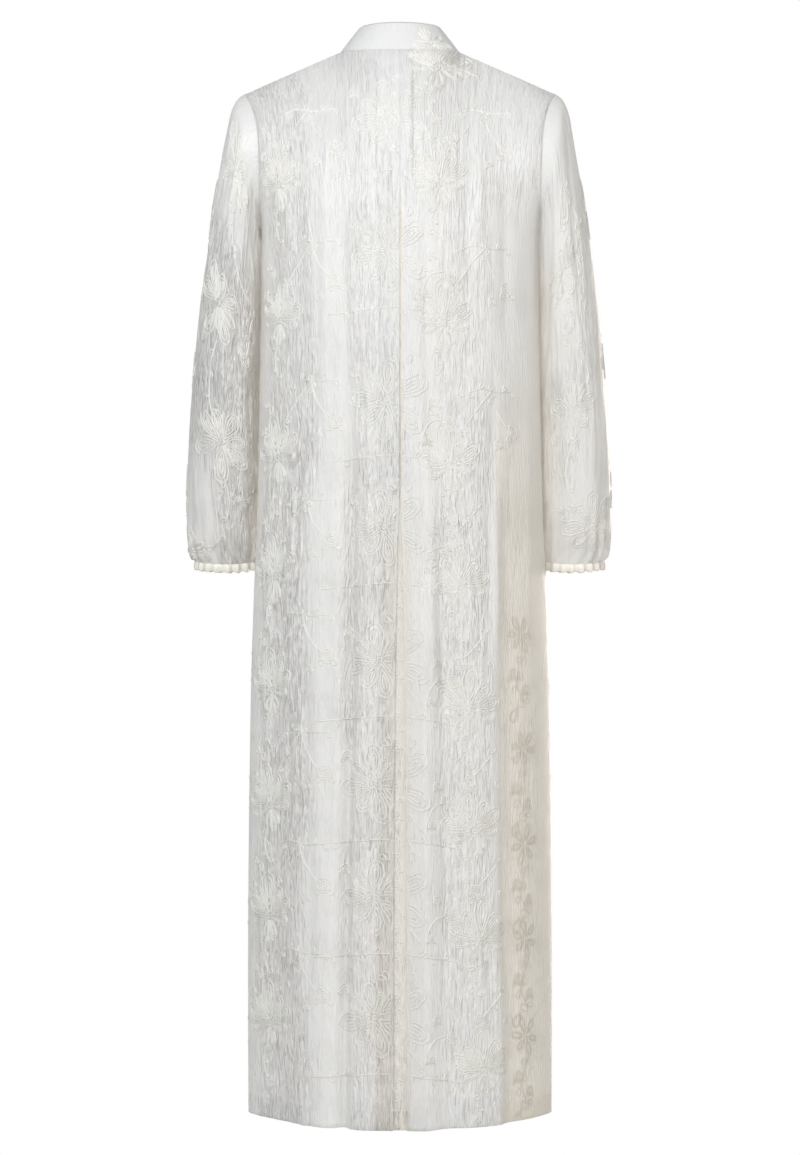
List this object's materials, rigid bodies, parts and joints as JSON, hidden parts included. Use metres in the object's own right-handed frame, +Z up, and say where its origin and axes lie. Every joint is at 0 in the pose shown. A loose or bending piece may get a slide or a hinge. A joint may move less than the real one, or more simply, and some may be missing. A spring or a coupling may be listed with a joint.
{
  "type": "kaftan dress, worn shape",
  "caption": "Long straight dress with stand collar, full gathered sleeves and a centre back pleat, in its worn shape and hollow.",
  "frame": {"origin": "centre of the neck ring, level with the two side neck points, where the wearer's shoulders and neck hold the dress up", "axes": "+Z up towards the collar, +Y towards the front of the dress, -Y its back, +X the wearer's right"},
  "size_m": [0.5569, 0.2793, 1.3977],
  "materials": {
    "dress_cloth": "light ivory crinkled cloth with a satin sheen, slightly see-through",
    "collar_cloth": "the same ivory cloth, doubled, smooth and closed",
    "cuff_cloth": "the same ivory cloth, doubled and gathered over elastic",
    "embroidery_thread": "cream corded embroidery thread with a soft gloss",
    "sewing_thread": "fine ivory sewing thread"
  },
  "bodies": {
    "root": {"back_panel": "dress_cloth", "front_panel": "dress_cloth", "sleeve_left": "dress_cloth", "sleeve_right": "dress_cloth", "cuff_left": "cuff_cloth", "cuff_right": "cuff_cloth", "collar": "collar_cloth"}
  },
  "joints": []
}
